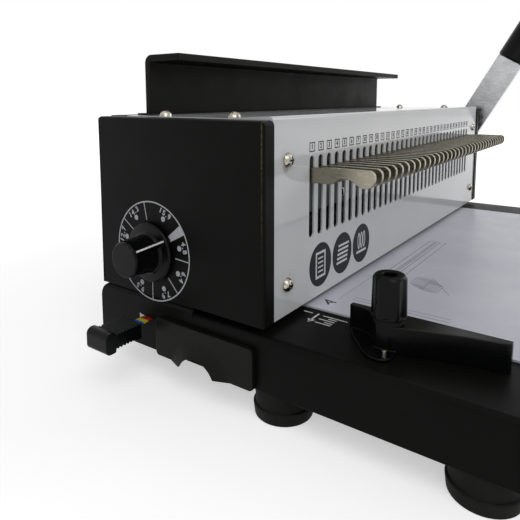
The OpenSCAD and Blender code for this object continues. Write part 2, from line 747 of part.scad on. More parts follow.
module size_cam() color("#a9acae") along_x(slide_x + 0.2, slide_t - 0.4) translate([dial_y, dial_z]) difference() {
  union() {
    circle(r = cam_step(0), $fn = 96);
    // A step faces up when the pointer stands at its size
    for (k = [1:7]) rotate(dial_angles[k] - park_angle) intersection() {
      circle(r = cam_step(k), $fn = 96);
      polygon([[0, 0], 40 * [-tan(14), 1], 40 * [tan(14), 1]]);
    }
  }
  circle(r = 4, $fn = 48);
}

// Chip drawer

tray_top = -9.6;
drawer_screw_ys = [11, 55];
tray_low = -26.8;
grip_z = -33.5;

module chip_tray() color("#26282a") difference() {
  block(0, drawer_l, 5, 61, tray_low, tray_top);
  block(sheet, drawer_l - sheet, 5 + sheet, 61 - sheet, tray_low + sheet, tray_top + 1);
  for (y = drawer_screw_ys) rod_x(-1, sheet + 1, y, -14, 1.5);
}

// The finger grip is a flared lip, open at the bottom of the plate
module drawer_front() color("#222524") difference() {
  union() {
    along_x(-3, 3) difference() {
      soft_rect([drawer_y0, -28.2], [drawer_y1, -8.7], [2, 2, 3, 3]);
      translate([34.6, grip_z]) circle(r = 18, $fn = 96);
    }
    intersection() {
      translate([0, 34.6, grip_z]) rotate([0, -90, 0]) rotate_extrude($fn = 96)
        polygon([[19.5, 3], [11.9, 6.2], [11.9, 4.8], [17, 2.2], [18, 1.2], [19.5, 1.2]]);
      block(-8, 0, drawer_y0, drawer_y1, -28.2, -8.7);
    }
  }
  for (y = drawer_screw_ys) rod_x(-2, 1, y, -14, 1.5);
}

// Put in from the inside of the tray
module drawer_screws() color("#b9b9b4") for (y = drawer_screw_ys) {
  rod_x(-2, sheet, y, -14, 1.5);
  translate([sheet, y, -14]) rotate([0, 90, 0]) pan_head(2.8, 1.6);
}

// Margin selector and back gauge

strip_y0 = 69.2;
strip_y1 = 75.2;
strip_low = -12.9;
strip_top = -12;
selector_travel = 6.8;
gauge_travel = 4;
follower = [50, 73.5];
slot_l = norm([selector_travel, gauge_travel]);

// A thin strip that is read outside, and a thicker cam plate inside
module selector_strip() color("#c6c9c8") difference() {
  union() {
    block(-16, 31, strip_y0, strip_y1, strip_low, strip_top);
    block(30, 62, 63.5, 82, strip_top - 3, strip_top);
  }
  // Inclined slot of the follower pin
  translate([follower[0], follower[1], strip_top - 4])
    rotate(180 + atan2(gauge_travel, selector_travel)) linear_extrude(5) {
      translate([0, -1.7]) square([slot_l, 3.4]);
      for (x = [0, slot_l]) translate([x, 0]) circle(r = 1.7, $fn = 32);
    }
}

// Grip with a ribbed stem and a thick end, one moulding with a pocket for the strip
module selector_grip() color("#181a1c") difference() {
  x0 = -grip_out;
  union() {
    along_y(grip_y - 7.3, 14.6) soft_rect([x0, -19.7], [x0 + 5.8, -9.2], [2.5, 1, 2, 3]);
    block(x0 + 5.8, -8.5, grip_y - 7.2, grip_y + 7.2, -17.6, -11.4);
    // Heel under the rear of the stem
    along_y(grip_y - 7.2, 14.4) polygon([[-17, -17.2], [-14, -18], [-11, -18.9], [-8.5, -18.9], [-8.5, -16], [-17, -16]]);
    for (k = [0:7], z = [-17.6, -11.4])
      along_y(grip_y - 7.2, 14.4) translate([x0 + 7.1 + k * 1.95, z]) circle(r = 0.65, $fn = 24);
  }
  block(-16, 0, strip_y0, strip_y1, strip_low, strip_top);
}

module selector_bracket() color("#8d9092") difference() {
  block(12, 26, 66, 81, -18.5, -sheet);
  block(11, 27, strip_y0 - 0.3, strip_y1 + 0.3, strip_low - 0.3, strip_top + 0.3);
  block(11, 27, 68, 79, -10, -3);
}

module back_gauge() color("#a9acae") block(36, body_w - 36, 30.5, 34.5, -1.8, 0.2);

module gauge_link() color("#a9acae") {
  block(44, 56, 34.5, 38, -8, 0.2);
  block(44, 56, 38, 76, -8, -6);
  rod_z(follower[0], follower[1], strip_top - 3.6, -8, 1.5);
}

// Edge guide

// Outline of the guide's top: narrow at the rear, widest at the knob, tapering to the front
module guide_outline() {
  polygon(concat(
    [[fence_x, -27], [fence_x - 3, -27], [fence_x - 3.4, -29]],
    [for (a = [0:15:90]) [fence_x - 3.4 - 11.4 * (1 - cos(a)), -29 - 15 * sin(a)]],
    [[lock_x - 4.8, lock_y - 1], [fence_x - 11, -62], [fence_x - 6.5, -78], [fence_x - 4.5, -90],
      [fence_x - 3, -93], [fence_x, -93]]));
}

// Thin lobe of the foot around the stud
module guide_foot() {
  polygon([[fence_x - 1, -26.5], [fence_x - 9, -31], [13, -39.6], [10.2, -42.4], [8.6, -45.8], [8.4, -49],
    [9.6, -51.6], [12, -53], [15, -53.2], [20, -52], [fence_x - 8, -60], [fence_x - 4, -70], [fence_x - 3, -92], [fence_x, -92]]);
}

stud = [11, -50.7];
lobe_top = -1.6;

module edge_guide() color("#17191b") difference() {
  union() {
    along_z(-table_drop + 0.1, guide_top) guide_outline();
    along_z(-table_drop + 0.1, lobe_top) guide_foot();
  }
  rod_z(lock_x, lock_y, -5, guide_top + 1, 2.6);
  rod_z(stud[0], stud[1], -5, 2, 0.9);
}

module guide_stud() color("#cfcdc4") rod_z(stud[0], stud[1], -table_drop + 0.1, 1.6, 0.9);

module guide_nut() color("#9a9da0") difference() {
  block(lock_x - 7, lock_x + 7, lock_y - 8, lock_y + 8, -9, -table_drop - sheet - 0.1);
  rod_z(lock_x, lock_y, -10, 0, 2.5 + running);
}

module lock_washer() color("#202224") difference() {
  rod_z(lock_x, lock_y, guide_top, guide_top + 2.5, 6);
  rod_z(lock_x, lock_y, guide_top - 1, guide_top + 4, 2.6);
}

lock_low = guide_top + 2.6;
lock_high = 28.8;

module lock_knob() color("#131414") translate([lock_x, lock_y, 0]) difference() {
  union() {
    translate([0, 0, lock_low]) cylinder(h = lock_high - 1.2 - lock_low, r1 = 7.3, r2 = 6.9, $fn = 64);
    translate([0, 0, lock_high - 1.2]) cylinder(h = 1.2, r1 = 6.9, r2 = 5.9, $fn = 64);
  }
  // Grip flutes
  for (k = [0:5]) rotate(k * 60 + 12) translate([12.4, 0, lock_low + 1]) cylinder(h = 30, r = 6, $fn = 64);
  translate([0, 0, lock_high - 5]) cylinder(h = 8, r = 2.9, $fn = 48);
  translate([0, 0, lock_low - 1]) cylinder(h = 8, r = 2.5, $fn = 48);
}

module lock_screw() color("#b9b9b4") rod_z(lock_x, lock_y, -9, lock_low + 7, 2.5);

place() base_shell();
place() bottom_plate();
place() rubber_feet();
place() foot_screws();
place() table_plate();
place() left_frame();
place() right_frame();
place() frame_strap();
place() tie_bar();
place() strap_screws();
place() guide_rods();
place() shaft_bushes();
place() dial_bush();
place() handle_springs();
place() spring_posts();
place() die_plate();
place() guide_plate();
place() selector_bracket();
place() left_cover();
place() right_cover();
place() top_cover();
place() rear_cover();
place() slot_trim();
place() cover_screws();
place() main_shaft();
place() punch_cams();
place() lift_sectors();
place() handle_arm();
place() handle_grip();
place() hub_screw();
place() punch_bar();
place() punch_pins();
place() pin_keeper();
place() punch_springs();
place() left_slide();
place() right_slide();
place() lift_racks();
place() slide_bushes();
place() finger_bar();
place() fingers();
place() finger_keeper();
place() carriage_screws();
place() press_bar();
place() bar_brackets();
place() dial_knob();
place() dial_spindle();
place() size_cam();
place() chip_tray();
place() drawer_front();
place() drawer_screws();
place() selector_strip();
place() selector_grip();
place() back_gauge();
place() gauge_link();
place() edge_guide();
place() guide_stud();
place() guide_nut();
place() lock_washer();
place() lock_knob();
place() lock_screw();
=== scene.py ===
"""Looks for the wire binding machine: materials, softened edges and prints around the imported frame."""

import json
import math

import bmesh
import bpy
from mathutils import Matrix, Vector
from mathutils.bvhtree import BVHTree


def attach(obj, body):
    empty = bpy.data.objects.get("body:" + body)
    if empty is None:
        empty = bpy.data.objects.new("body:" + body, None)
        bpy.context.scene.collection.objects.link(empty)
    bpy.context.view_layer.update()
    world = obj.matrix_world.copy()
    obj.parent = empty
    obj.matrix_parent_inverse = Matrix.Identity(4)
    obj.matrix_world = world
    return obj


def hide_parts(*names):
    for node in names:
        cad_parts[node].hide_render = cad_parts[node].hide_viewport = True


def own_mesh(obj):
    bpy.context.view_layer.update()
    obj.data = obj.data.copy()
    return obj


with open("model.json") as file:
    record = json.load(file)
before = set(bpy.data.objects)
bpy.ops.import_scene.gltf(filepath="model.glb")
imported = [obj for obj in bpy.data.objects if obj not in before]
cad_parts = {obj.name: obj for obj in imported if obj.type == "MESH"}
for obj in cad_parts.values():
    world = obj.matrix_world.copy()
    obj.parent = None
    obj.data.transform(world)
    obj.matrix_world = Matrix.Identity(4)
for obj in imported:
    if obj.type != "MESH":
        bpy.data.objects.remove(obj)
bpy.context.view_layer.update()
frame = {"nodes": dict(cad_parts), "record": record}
nodes = frame["nodes"]

MM = 0.001
# The panel's front left foot, seen from the row's origin
OFFSET = Vector((-177.6055, -1.1, 42.4)) * MM
HOLES = 34
PITCH = 8.467
MARGIN = 41.0
BODY_W = 2 * MARGIN + (HOLES - 1) * PITCH
BODY_H = 90.3
DIAL_Y = 67.4
DIAL_Z = 23.5
# Places of the cover screws: X from either end, then heights on the front and depths on the top
FRONT_SCREW_X = 19.5
FRONT_SCREW_ZS = (14.7, 72)
TOP_SCREW_X = 17
TOP_SCREW_YS = (28, 73)
SLOT_TOP = 73.8
TABLE_Z = -3
SHEET_Z = -2
RIGHT, BACK, UP = (1, 0, 0), (0, 1, 0), (0, 0, 1)


def at(x, y, z):
    """A point given in millimetres from the panel's front left foot, in the row frame."""
    return Vector((x, y, z)) * MM + OFFSET


# Materials

def add(tree, kind, inputs=None, **props):
    """A shader node whose inputs are values or sockets."""
    made = tree.nodes.new(kind)
    for key, value in props.items():
        setattr(made, key, value)
    for key, value in (inputs or {}).items():
        if isinstance(value, bpy.types.NodeSocket):
            tree.links.new(value, made.inputs[key])
        else:
            made.inputs[key].default_value = value
    return made


def coords(tree):
    return add(tree, "ShaderNodeTexCoord").outputs["Object"]


def noise(tree, scale, detail=3.0, rough=0.5, stretch=None):
    """Noise with about scale features in a metre; stretch scales the coordinates by axis."""
    vector = coords(tree)
    if stretch:
        vector = add(tree, "ShaderNodeMapping", {"Vector": vector, "Scale": stretch}).outputs["Vector"]
    return add(tree, "ShaderNodeTexNoise", {
        "Vector": vector, "Scale": scale, "Detail": detail, "Roughness": rough}).outputs["Fac"]


def span(tree, value, low, high, to_low=0.0, to_high=1.0):
    """Maps low to high onto to_low to to_high, and holds the ends."""
    made = add(tree, "ShaderNodeMapRange", {
        "Value": value, "From Min": low, "From Max": high, "To Min": to_low, "To Max": to_high})
    return made.outputs["Result"]


def math_node(tree, operation, a, b=0.0):
    made = add(tree, "ShaderNodeMath", operation=operation)
    for socket, value in ((made.inputs[0], a), (made.inputs[1], b)):
        if isinstance(value, bpy.types.NodeSocket):
            tree.links.new(value, socket)
        else:
            socket.default_value = value
    return made.outputs[0]


def mix(tree, fac, a, b):
    made = add(tree, "ShaderNodeMix", data_type="RGBA")
    for socket, value in ((made.inputs[0], fac), (made.inputs[6], a), (made.inputs[7], b)):
        if isinstance(value, bpy.types.NodeSocket):
            tree.links.new(value, socket)
        elif socket is made.inputs[0]:
            socket.default_value = value
        else:
            socket.default_value = (*value, 1.0)
    return made.outputs[2]


def bump(tree, height, strength, distance, normal=None):
    inputs = {"Height": height, "Strength": strength, "Distance": distance}
    if normal:
        inputs["Normal"] = normal
    return add(tree, "ShaderNodeBump", inputs).outputs["Normal"]


def edge_mask(tree, radius, low=0.02, high=0.25):
    """Is 1 along sharp edges, from a rounded normal that departs from the face's own."""
    soft = add(tree, "ShaderNodeBevel", {"Radius": radius}, samples=6).outputs["Normal"]
    face = add(tree, "ShaderNodeNewGeometry").outputs["Normal"]
    dot = add(tree, "ShaderNodeVectorMath", {0: soft, 1: face}, operation="DOT_PRODUCT").outputs["Value"]
    return span(tree, dot, 1.0 - low, 1.0 - high)


def near(tree, point, inner, outer):
    """Is 1 within inner millimetres of a point and 0 beyond outer."""
    away = add(tree, "ShaderNodeVectorMath", {0: coords(tree), 1: point}, operation="DISTANCE")
    return span(tree, away.outputs["Value"], inner * MM, outer * MM, 1.0, 0.0)


def times(tree, first, *others):
    """Product of values or sockets."""
    for other in others:
        first = math_node(tree, "MULTIPLY", first, other)
    return first


def between(tree, value, low, high):
    """Is 1 between two limits and 0 elsewhere."""
    return times(tree, math_node(tree, "GREATER_THAN", value, low), math_node(tree, "LESS_THAN", value, high))


def axis_value(tree, axis):
    return add(tree, "ShaderNodeSeparateXYZ", {0: coords(tree)}).outputs[axis]


def material(name, **sockets):
    made = bpy.data.materials.new(name)
    made.use_nodes = True
    shader = made.node_tree.nodes["Principled BSDF"]
    for key, value in sockets.items():
        shader.inputs[key.replace("_", " ")].default_value = value
    return made, made.node_tree, shader


def link(tree, socket, shader, name):
    tree.links.new(socket, shader.inputs[name])


def paint_material(name, dark, light, rough, specular, grain, depth, worn_and_sheen, wear_and_sheen=0.5, edge=0.5):
    """Sprayed or powder-coated surface: cloudy colour, fine grain, and rubbed edges, whose pale edge colour
    is also a painted highlight on the grip's ribs.
    """
    made, tree, shader = material(name, Specular_IOR_Level=specular)
    cloud = noise(tree, 22.0, 4.0, 0.6)
    speck = noise(tree, grain * 0.6, 2.0, 0.6)
    colour = mix(tree, span(tree, times(tree, cloud, speck), 0.12, 0.4), dark, light)
    broken = span(tree, noise(tree, 160.0, 5.0, 0.7), 0.4, 0.75)
    # Pale edge colour from rubbing; on the grip's ribs it is a painted highlight.
    colour = mix(tree, times(tree, edge_mask(tree, edge * MM), broken, wear_and_sheen), colour, worn_and_sheen)
    link(tree, colour, shader, "Base Color")
    matt = noise(tree, 60.0, 4.0, 0.6)
    link(tree, span(tree, matt, 0.3, 0.7, rough - 0.06, rough + 0.06), shader, "Roughness")
    fine = noise(tree, grain, 2.0, 0.5)
    wide = noise(tree, grain * 0.22, 2.0, 0.5)
    height = math_node(tree, "ADD", fine, wide)
    link(tree, bump(tree, height, depth, 0.0002), shader, "Normal")
    return made


def metal_material(name, colour, tarnish, rough, brush=None, grain=900.0, depth=0.06, recess_dirt_and_shade=0.0, cloud=90.0):
    """Bare or plated metal with brushing, tarnish in clouds, and grime with painted shade in its recesses."""
    made, tree, shader = material(name, Metallic=1.0)
    tone = mix(tree, span(tree, noise(tree, cloud, 5.0, 0.65), 0.42, 0.72), colour, tarnish)
    if recess_dirt_and_shade:
        # Ambient occlusion darkens the hollows towards dark brown: painted shade in the recesses, partly
        # grime.
        hollow = add(tree, "ShaderNodeAmbientOcclusion", {"Distance": 0.003}, samples=6).outputs["AO"]
        tone = mix(tree, times(tree, span(tree, hollow, 0.75, 0.2), recess_dirt_and_shade), tone, (0.03, 0.022, 0.012))
    link(tree, tone, shader, "Base Color")
    lines = noise(tree, grain, 2.0, 0.5, stretch=brush)
    link(tree, span(tree, lines, 0.3, 0.7, rough - 0.06, rough + 0.08), shader, "Roughness")
    link(tree, bump(tree, lines, depth, 0.0002), shader, "Normal")
    return made


BLACK = paint_material("black_powder_coat", (0.0024, 0.0029, 0.0022), (0.0046, 0.0054, 0.0043), 0.42, 0.055,
                       2600.0, 0.14, (0.035, 0.038, 0.038))
BAR = paint_material("black_bar_coat", (0.0034, 0.0032, 0.0022), (0.0062, 0.0058, 0.0042), 0.44, 0.08,
                     2200.0, 0.12, (0.05, 0.05, 0.048))
DRAWER = paint_material("drawer_coat", (0.0036, 0.0038, 0.0028), (0.0070, 0.0072, 0.0056), 0.36, 0.10,
                        2200.0, 0.10, (0.06, 0.06, 0.056), wear_and_sheen=0.3)
PLASTIC = paint_material("moulded_plastic", (0.0016, 0.0018, 0.0018), (0.0032, 0.0036, 0.0038), 0.22, 0.11,
                         3200.0, 0.10, (0.035, 0.038, 0.04), wear_and_sheen=0.6, edge=0.4)
# The grip's rib edges take a pale bluish edge colour at full strength: a painted highlight on the ribs,
# partly real rubbing.
GRIP = paint_material("grip_plastic", (0.0018, 0.0021, 0.0024), (0.0036, 0.0042, 0.0050), 0.26, 0.11,
                      3200.0, 0.10, (0.050, 0.056, 0.068), wear_and_sheen=1.0, edge=0.5)
RUBBER = paint_material("black_rubber", (0.0030, 0.0030, 0.0027), (0.0068, 0.0066, 0.0060), 0.7, 0.15,
                        1800.0, 0.25, (0.02, 0.02, 0.02), wear_and_sheen=0.4)
FIBRE = paint_material("fibre_washer", (0.006, 0.006, 0.006), (0.014, 0.014, 0.013), 0.7, 0.15,
                       2400.0, 0.3, (0.04, 0.04, 0.04))
ZINC = metal_material("zinc_steel", (0.085, 0.10, 0.11), (0.045, 0.05, 0.058), 0.42, brush=(0.15, 1, 1))
GROUND = metal_material("ground_steel", (0.42, 0.43, 0.44), (0.30, 0.30, 0.30), 0.3, brush=(0.1, 1, 1))
BRONZE = metal_material("bronze", (0.42, 0.28, 0.12), (0.25, 0.16, 0.07), 0.35)
SPRING = metal_material("spring_steel", (0.20, 0.20, 0.21), (0.10, 0.10, 0.10), 0.35)
NICKEL = metal_material("nickel_plate", (0.29, 0.27, 0.215), (0.21, 0.19, 0.14), 0.3,
                        brush=(1, 0.2, 1), grain=1400.0)
# Darker brown nickel for the fingers' sides that face a neighbour: painted shade between the fingers.
NICKEL_PAINTED_SHADE = metal_material("nickel_side_painted_shade", (0.26, 0.19, 0.075), (0.07, 0.045, 0.014), 0.25,
                             grain=600.0, cloud=900.0)
SCREW = metal_material("screw_plate", (0.50, 0.47, 0.41), (0.035, 0.03, 0.02), 0.12, grain=1200.0, recess_dirt_and_shade=1.0,
                       cloud=520.0)
# Near-black brown metal for the faces inside the cross recesses: painted shade in the recesses, partly grime.
RECESS_SHADE = metal_material("screw_recess_painted_shade", (0.035, 0.028, 0.015), (0.012, 0.01, 0.006), 0.4)
# Near-black metal, far darker than bare steel, on the walls inside the slots: painted shade.
SLOT_WALL_SHADE = metal_material("slot_wall_painted_shade", (0.05, 0.05, 0.055), (0.025, 0.025, 0.028), 0.45)
ARM = metal_material("arm_plate", (0.55, 0.56, 0.57), (0.42, 0.43, 0.44), 0.28, brush=(1, 0.15, 1))


def scratch(tree):
    """A faint broken line that runs from the upper left screw to the first slot."""
    start, end = at(23.9, 0, 69.1), at(37.1, 0, 67.0)
    x, z = axis_value(tree, 0), axis_value(tree, 2)
    slope = (end.z - start.z) / (end.x - start.x)
    line = math_node(tree, "ADD", times(tree, x, slope), start.z - slope * start.x)
    off = math_node(tree, "ABSOLUTE", math_node(tree, "SUBTRACT", z, line))
    broken = span(tree, noise(tree, 500.0, 3.0, 0.6), 0.4, 0.65, 0.1, 0.8)
    thin = span(tree, off, 0.1 * MM, 0.3 * MM, 1.0, 0.0)
    return times(tree, between(tree, x, start.x, end.x), broken, thin)


def white_paint():
    """Gloss white paint with a faint warm cast by the front screws."""
    made, tree, shader = material("white_gloss_paint", Specular_IOR_Level=0.45)
    cloud = noise(tree, 14.0, 4.0, 0.55)
    colour = mix(tree, span(tree, cloud, 0.35, 0.7), (0.55, 0.56, 0.58), (0.60, 0.60, 0.60))
    low, high = (near(tree, at(FRONT_SCREW_X, 0, z), 3.0, 8.5) for z in FRONT_SCREW_ZS)
    blotch = span(tree, noise(tree, 260.0, 5.0, 0.7), 0.4, 0.7)
    stain = times(tree, math_node(tree, "MAXIMUM", low, high), blotch, 0.5)
    colour = mix(tree, stain, colour, (0.34, 0.31, 0.22))
    # A dark spot against the lower left rim of the upper left front screw's head.
    dark_spot_under_screw = near(tree, at(17.9, 0, 68.7), 1.6, 2.8)
    colour = mix(tree, times(tree, dark_spot_under_screw, 0.55), colour, (0.20, 0.19, 0.14))
    colour = mix(tree, scratch(tree), colour, (0.80, 0.80, 0.80))
    smear = span(tree, noise(tree, 45.0, 5.0, 0.7, stretch=(1, 1, 3)), 0.55, 0.8)
    colour = mix(tree, times(tree, smear, 0.10), colour, (0.42, 0.40, 0.34))
    broken = span(tree, noise(tree, 200.0, 5.0, 0.7), 0.5, 0.75)
    colour = mix(tree, times(tree, edge_mask(tree, 0.5 * MM), broken, 0.35), colour, (0.30, 0.29, 0.27))
    link(tree, colour, shader, "Base Color")
    link(tree, span(tree, noise(tree, 40.0, 4.0, 0.6), 0.3, 0.7, 0.05, 0.11), shader, "Roughness")
    wave = bump(tree, noise(tree, 28.0, 2.0, 0.5), 0.25, 0.0006)
    peel = noise(tree, 700.0, 2.0, 0.5)
    link(tree, bump(tree, peel, 0.03, 0.0001, wave), shader, "Normal")
    return made


def fold_paint():
    """The end covers' black paint, rubbed to a golden line along the front fold."""
    made = BLACK.copy()
    made.name = "black_cover_coat"
    tree = made.node_tree
    shader = tree.nodes["Principled BSDF"]
    below = shader.inputs["Base Color"].links[0].from_socket
    corner = at(0, 0.35, 0)
    beside = span(tree, axis_value(tree, 0), corner.x + 0.15 * MM, corner.x + 0.4 * MM, 1.0, 0.0)
    off = math_node(tree, "ABSOLUTE", math_node(tree, "SUBTRACT", axis_value(tree, 1), corner.y))
    along = span(tree, off, 0.18 * MM, 0.5 * MM, 1.0, 0.0)
    upper = span(tree, axis_value(tree, 2), at(0, 0, 20).z, at(0, 0, 80).z)
    broken = span(tree, noise(tree, 700.0, 5.0, 0.8), 0.36, 0.62)
    rubbed = times(tree, beside, along, upper, broken)
    link(tree, mix(tree, rubbed, below, (0.10, 0.082, 0.03)), shader, "Base Color")
    return made


def guide_plastic():
    """The guide's plastic, rubbed to a golden line along its top edge beside the knob."""
    made = PLASTIC.copy()
    made.name = "guide_plastic"
    tree = made.node_tree
    shader = tree.nodes["Principled BSDF"]
    below = shader.inputs["Base Color"].links[0].from_socket
    edges = edge_mask(tree, 0.6 * MM, 0.01, 0.12)
    fades = [span(tree, axis_value(tree, axis), at(*start)[axis], at(*end)[axis])
             for axis, start, end in ((2, (0, 0, 8), (0, 0, 8.3)), (0, (27, 0, 0), (25, 0, 0)),
                                      (1, (0, -47, 0), (0, -50, 0)))]
    broken = span(tree, noise(tree, 800.0, 5.0, 0.8), 0.34, 0.6)
    rubbed = times(tree, edges, *fades, broken)
    link(tree, mix(tree, rubbed, below, (0.20, 0.17, 0.09)), shader, "Base Color")
    return made


def laminate():
    """Printed white sheet, a little blue, with handling marks."""
    made, tree, shader = material("table_laminate", Specular_IOR_Level=0.4)
    cloud = noise(tree, 18.0, 4.0, 0.6)
    colour = mix(tree, span(tree, cloud, 0.35, 0.7), (0.50, 0.51, 0.58), (0.58, 0.59, 0.65))
    scuff = span(tree, noise(tree, 120.0, 6.0, 0.75), 0.6, 0.85)
    colour = mix(tree, times(tree, scuff, 0.2), colour, (0.38, 0.38, 0.42))
    link(tree, colour, shader, "Base Color")
    link(tree, span(tree, noise(tree, 80.0, 4.0, 0.6), 0.3, 0.7, 0.28, 0.42), shader, "Roughness")
    link(tree, bump(tree, noise(tree, 1100.0, 2.0, 0.5), 0.06, 0.0002), shader, "Normal")
    return made


def raw_board():
    """Cut edge of the sheet: brown fibres."""
    made, tree, shader = material("cut_board", Specular_IOR_Level=0.15)
    fibre = noise(tree, 500.0, 6.0, 0.8)
    colour = mix(tree, span(tree, fibre, 0.3, 0.7), (0.10, 0.055, 0.022), (0.30, 0.19, 0.09))
    link(tree, colour, shader, "Base Color")
    link(tree, span(tree, fibre, 0.3, 0.7, 0.7, 0.9), shader, "Roughness")
    link(tree, bump(tree, fibre, 0.5, 0.0003), shader, "Normal")
    return made


def strip_paint():
    """Bands of blue, yellow and red on the margin selector's strip."""
    made, tree, shader = material("strip_bands", Specular_IOR_Level=0.4)
    x = axis_value(tree, 0)
    wobble = span(tree, noise(tree, 900.0, 3.0, 0.6), 0.3, 0.7, -0.00008, 0.00008)
    x = math_node(tree, "ADD", x, wobble)
    colour = (0.42, 0.43, 0.43)
    for left, right, tone in ((-8.2, -5.4, (0.008, 0.09, 0.42)), (-5.4, -2.65, (0.62, 0.50, 0.01)),
                              (-2.65, 4.0, (0.30, 0.008, 0.008))):
        colour = mix(tree, between(tree, x, at(left, 0, 0).x, at(right, 0, 0).x), colour, tone)
    dust = span(tree, noise(tree, 300.0, 5.0, 0.7), 0.4, 0.8)
    colour = mix(tree, times(tree, dust, 0.25), colour, (0.12, 0.11, 0.10))
    link(tree, colour, shader, "Base Color")
    link(tree, span(tree, dust, 0.0, 1.0, 0.32, 0.5), shader, "Roughness")
    link(tree, bump(tree, noise(tree, 1300.0, 2.0, 0.5), 0.08, 0.0002), shader, "Normal")
    return made


def ink(name, dark, light, rough=0.5, specular=0.3):
    """Screen-printed ink, slightly uneven."""
    made, tree, shader = material(name, Specular_IOR_Level=specular)
    fleck = noise(tree, 900.0, 4.0, 0.7)
    link(tree, mix(tree, span(tree, fleck, 0.3, 0.62), dark, light), shader, "Base Color")
    link(tree, span(tree, fleck, 0.3, 0.7, rough - 0.08, rough + 0.08), shader, "Roughness")
    link(tree, bump(tree, fleck, 0.05, 0.0001), shader, "Normal")
    return made


WHITE = white_paint()
COVER = fold_paint()
GUIDE = guide_plastic()
LAMINATE = laminate()
BOARD = raw_board()
STRIP = strip_paint()
DIAL_INK = ink("dial_ink", (0.33, 0.34, 0.36), (0.50, 0.51, 0.54))
POINTER_INK = ink("pointer_ink", (0.40, 0.41, 0.41), (0.80, 0.80, 0.80))
PANEL_INK = ink("panel_ink", (0.004, 0.004, 0.006), (0.014, 0.015, 0.019), specular=0.1)
BADGE_INK = ink("badge_ink", (0.0060, 0.0065, 0.0095), (0.0120, 0.0130, 0.0180), 0.35, 0.1)
LIGHT_INK = ink("badge_light_ink", (0.50, 0.51, 0.52), (0.66, 0.67, 0.68))
LINE_INK = ink("line_ink", (0.045, 0.045, 0.055), (0.14, 0.14, 0.16))
HEAVY_INK = ink("mark_ink", (0.012, 0.012, 0.014), (0.035, 0.035, 0.04))

SLOT_OF = {
    "black_sheet": BLACK, "white_sheet": WHITE, "table_laminate": LAMINATE, "rubber": RUBBER,
    "black_plastic": PLASTIC, "fibre_washer": FIBRE, "zinc_steel": ZINC, "ground_steel": GROUND,
    "bronze": BRONZE, "spring_steel": SPRING, "nickel": NICKEL, "screw_steel": SCREW,
    "strip_paint": STRIP, "arm_steel": ARM,
}


def paint(obj, *materials):
    obj.data.materials.clear()
    for m in materials:
        obj.data.materials.append(m)


node_slot = {part["node"]: part["material_slot"] for part in frame["record"]["subparts"]}
for name, obj in nodes.items():
    paint(obj, SLOT_OF[node_slot[name]])


# Pieces

def finish_mesh(mesh, angle=35.0):
    for face in mesh.polygons:
        face.use_smooth = True
    mesh.set_sharp_from_angle(angle=math.radians(angle))


def flatten_normals(obj):
    """Lets large faces keep their own normal, so that only the rounded edges shade softly."""
    weigh = obj.modifiers.new("weigh", "WEIGHTED_NORMAL")
    weigh.keep_sharp = True
    weigh.weight = 100
    old = obj.data
    obj.data = bpy.data.meshes.new_from_object(obj.evaluated_get(bpy.context.evaluated_depsgraph_get()))
    obj.modifiers.clear()
    obj.data.name = obj.name
    bpy.data.meshes.remove(old)


def new_piece(name, bm, body, slot, *materials, angle=35.0):
    mesh = bpy.data.meshes.new(name)
    bm.to_mesh(mesh)
    bm.free()
    obj = bpy.data.objects.new(name, mesh)
    bpy.context.scene.collection.objects.link(obj)
    paint(obj, *materials)
    finish_mesh(mesh, angle)
    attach(obj, body)
    return obj


def fold_strays(bm, surface, width):
    """Folds corners that a narrow angle has thrown off the surface back on their neighbours."""
    strays = {v for v in bm.verts if surface.find_nearest(v.co)[3] > 1.3 * width * MM}
    while strays:
        settled = {}
        for v in strays:
            around = [e.other_vert(v) for e in v.link_edges if e.other_vert(v) not in strays]
            if around:
                settled[v] = min(around, key=lambda other: (other.co - v.co).length).co.copy()
        if not settled:
            break
        for v, place in settled.items():
            v.co = place
        strays -= set(settled)


def softened(node, width, body, segments=2, materials=None, face_index=None):
    """A copy of a node whose sharp edges are rounded by width millimetres; it stands for the node."""
    bm = bmesh.new()
    bm.from_mesh(nodes[node].data)
    bmesh.ops.remove_doubles(bm, verts=bm.verts, dist=1e-6)
    bmesh.ops.dissolve_limit(bm, angle_limit=math.radians(0.6), verts=bm.verts, edges=bm.edges)
    bmesh.ops.recalc_face_normals(bm, faces=bm.faces)
    corner = math.radians(28)
    sharp = [e for e in bm.edges if len(e.link_faces) == 2 and e.calc_face_angle(0) > corner]
    bmesh.ops.bevel(bm, geom=sharp, offset=width * MM, offset_type="OFFSET", segments=segments,
                    profile=0.5, affect="EDGES", clamp_overlap=False, harden_normals=False)
    fold_strays(bm, BVHTree.FromObject(nodes[node], bpy.context.evaluated_depsgraph_get()), width)
    bmesh.ops.remove_doubles(bm, verts=bm.verts, dist=2e-6)
    if face_index:
        for face in bm.faces:
            face.material_index = face_index(face)
    slot = node_slot[node]
    obj = new_piece(node + "_soft", bm, body, slot, *(materials or [SLOT_OF[slot]]))
    flatten_normals(obj)
    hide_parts(node)


def finger_faces(face):
    """The sides that face a neighbour take a darker brown nickel, painted shade between the fingers; the
    first finger's outer side does not.
    """
    return 1 if abs(face.normal.x) > 0.5 and face.calc_center_median().x > at(MARGIN, 0, 0).x else 0


def slot_faces(face):
    """The walls inside the row of slots, which take a near-black metal as painted shade."""
    centre = face.calc_center_median()
    low, high = at(30, 0.05, 10), at(BODY_W - 30, 0.95, SLOT_TOP)
    inside = all(low[k] < centre[k] < high[k] for k in range(3))
    return 1 if inside and abs(face.normal.y) < 0.5 else 0


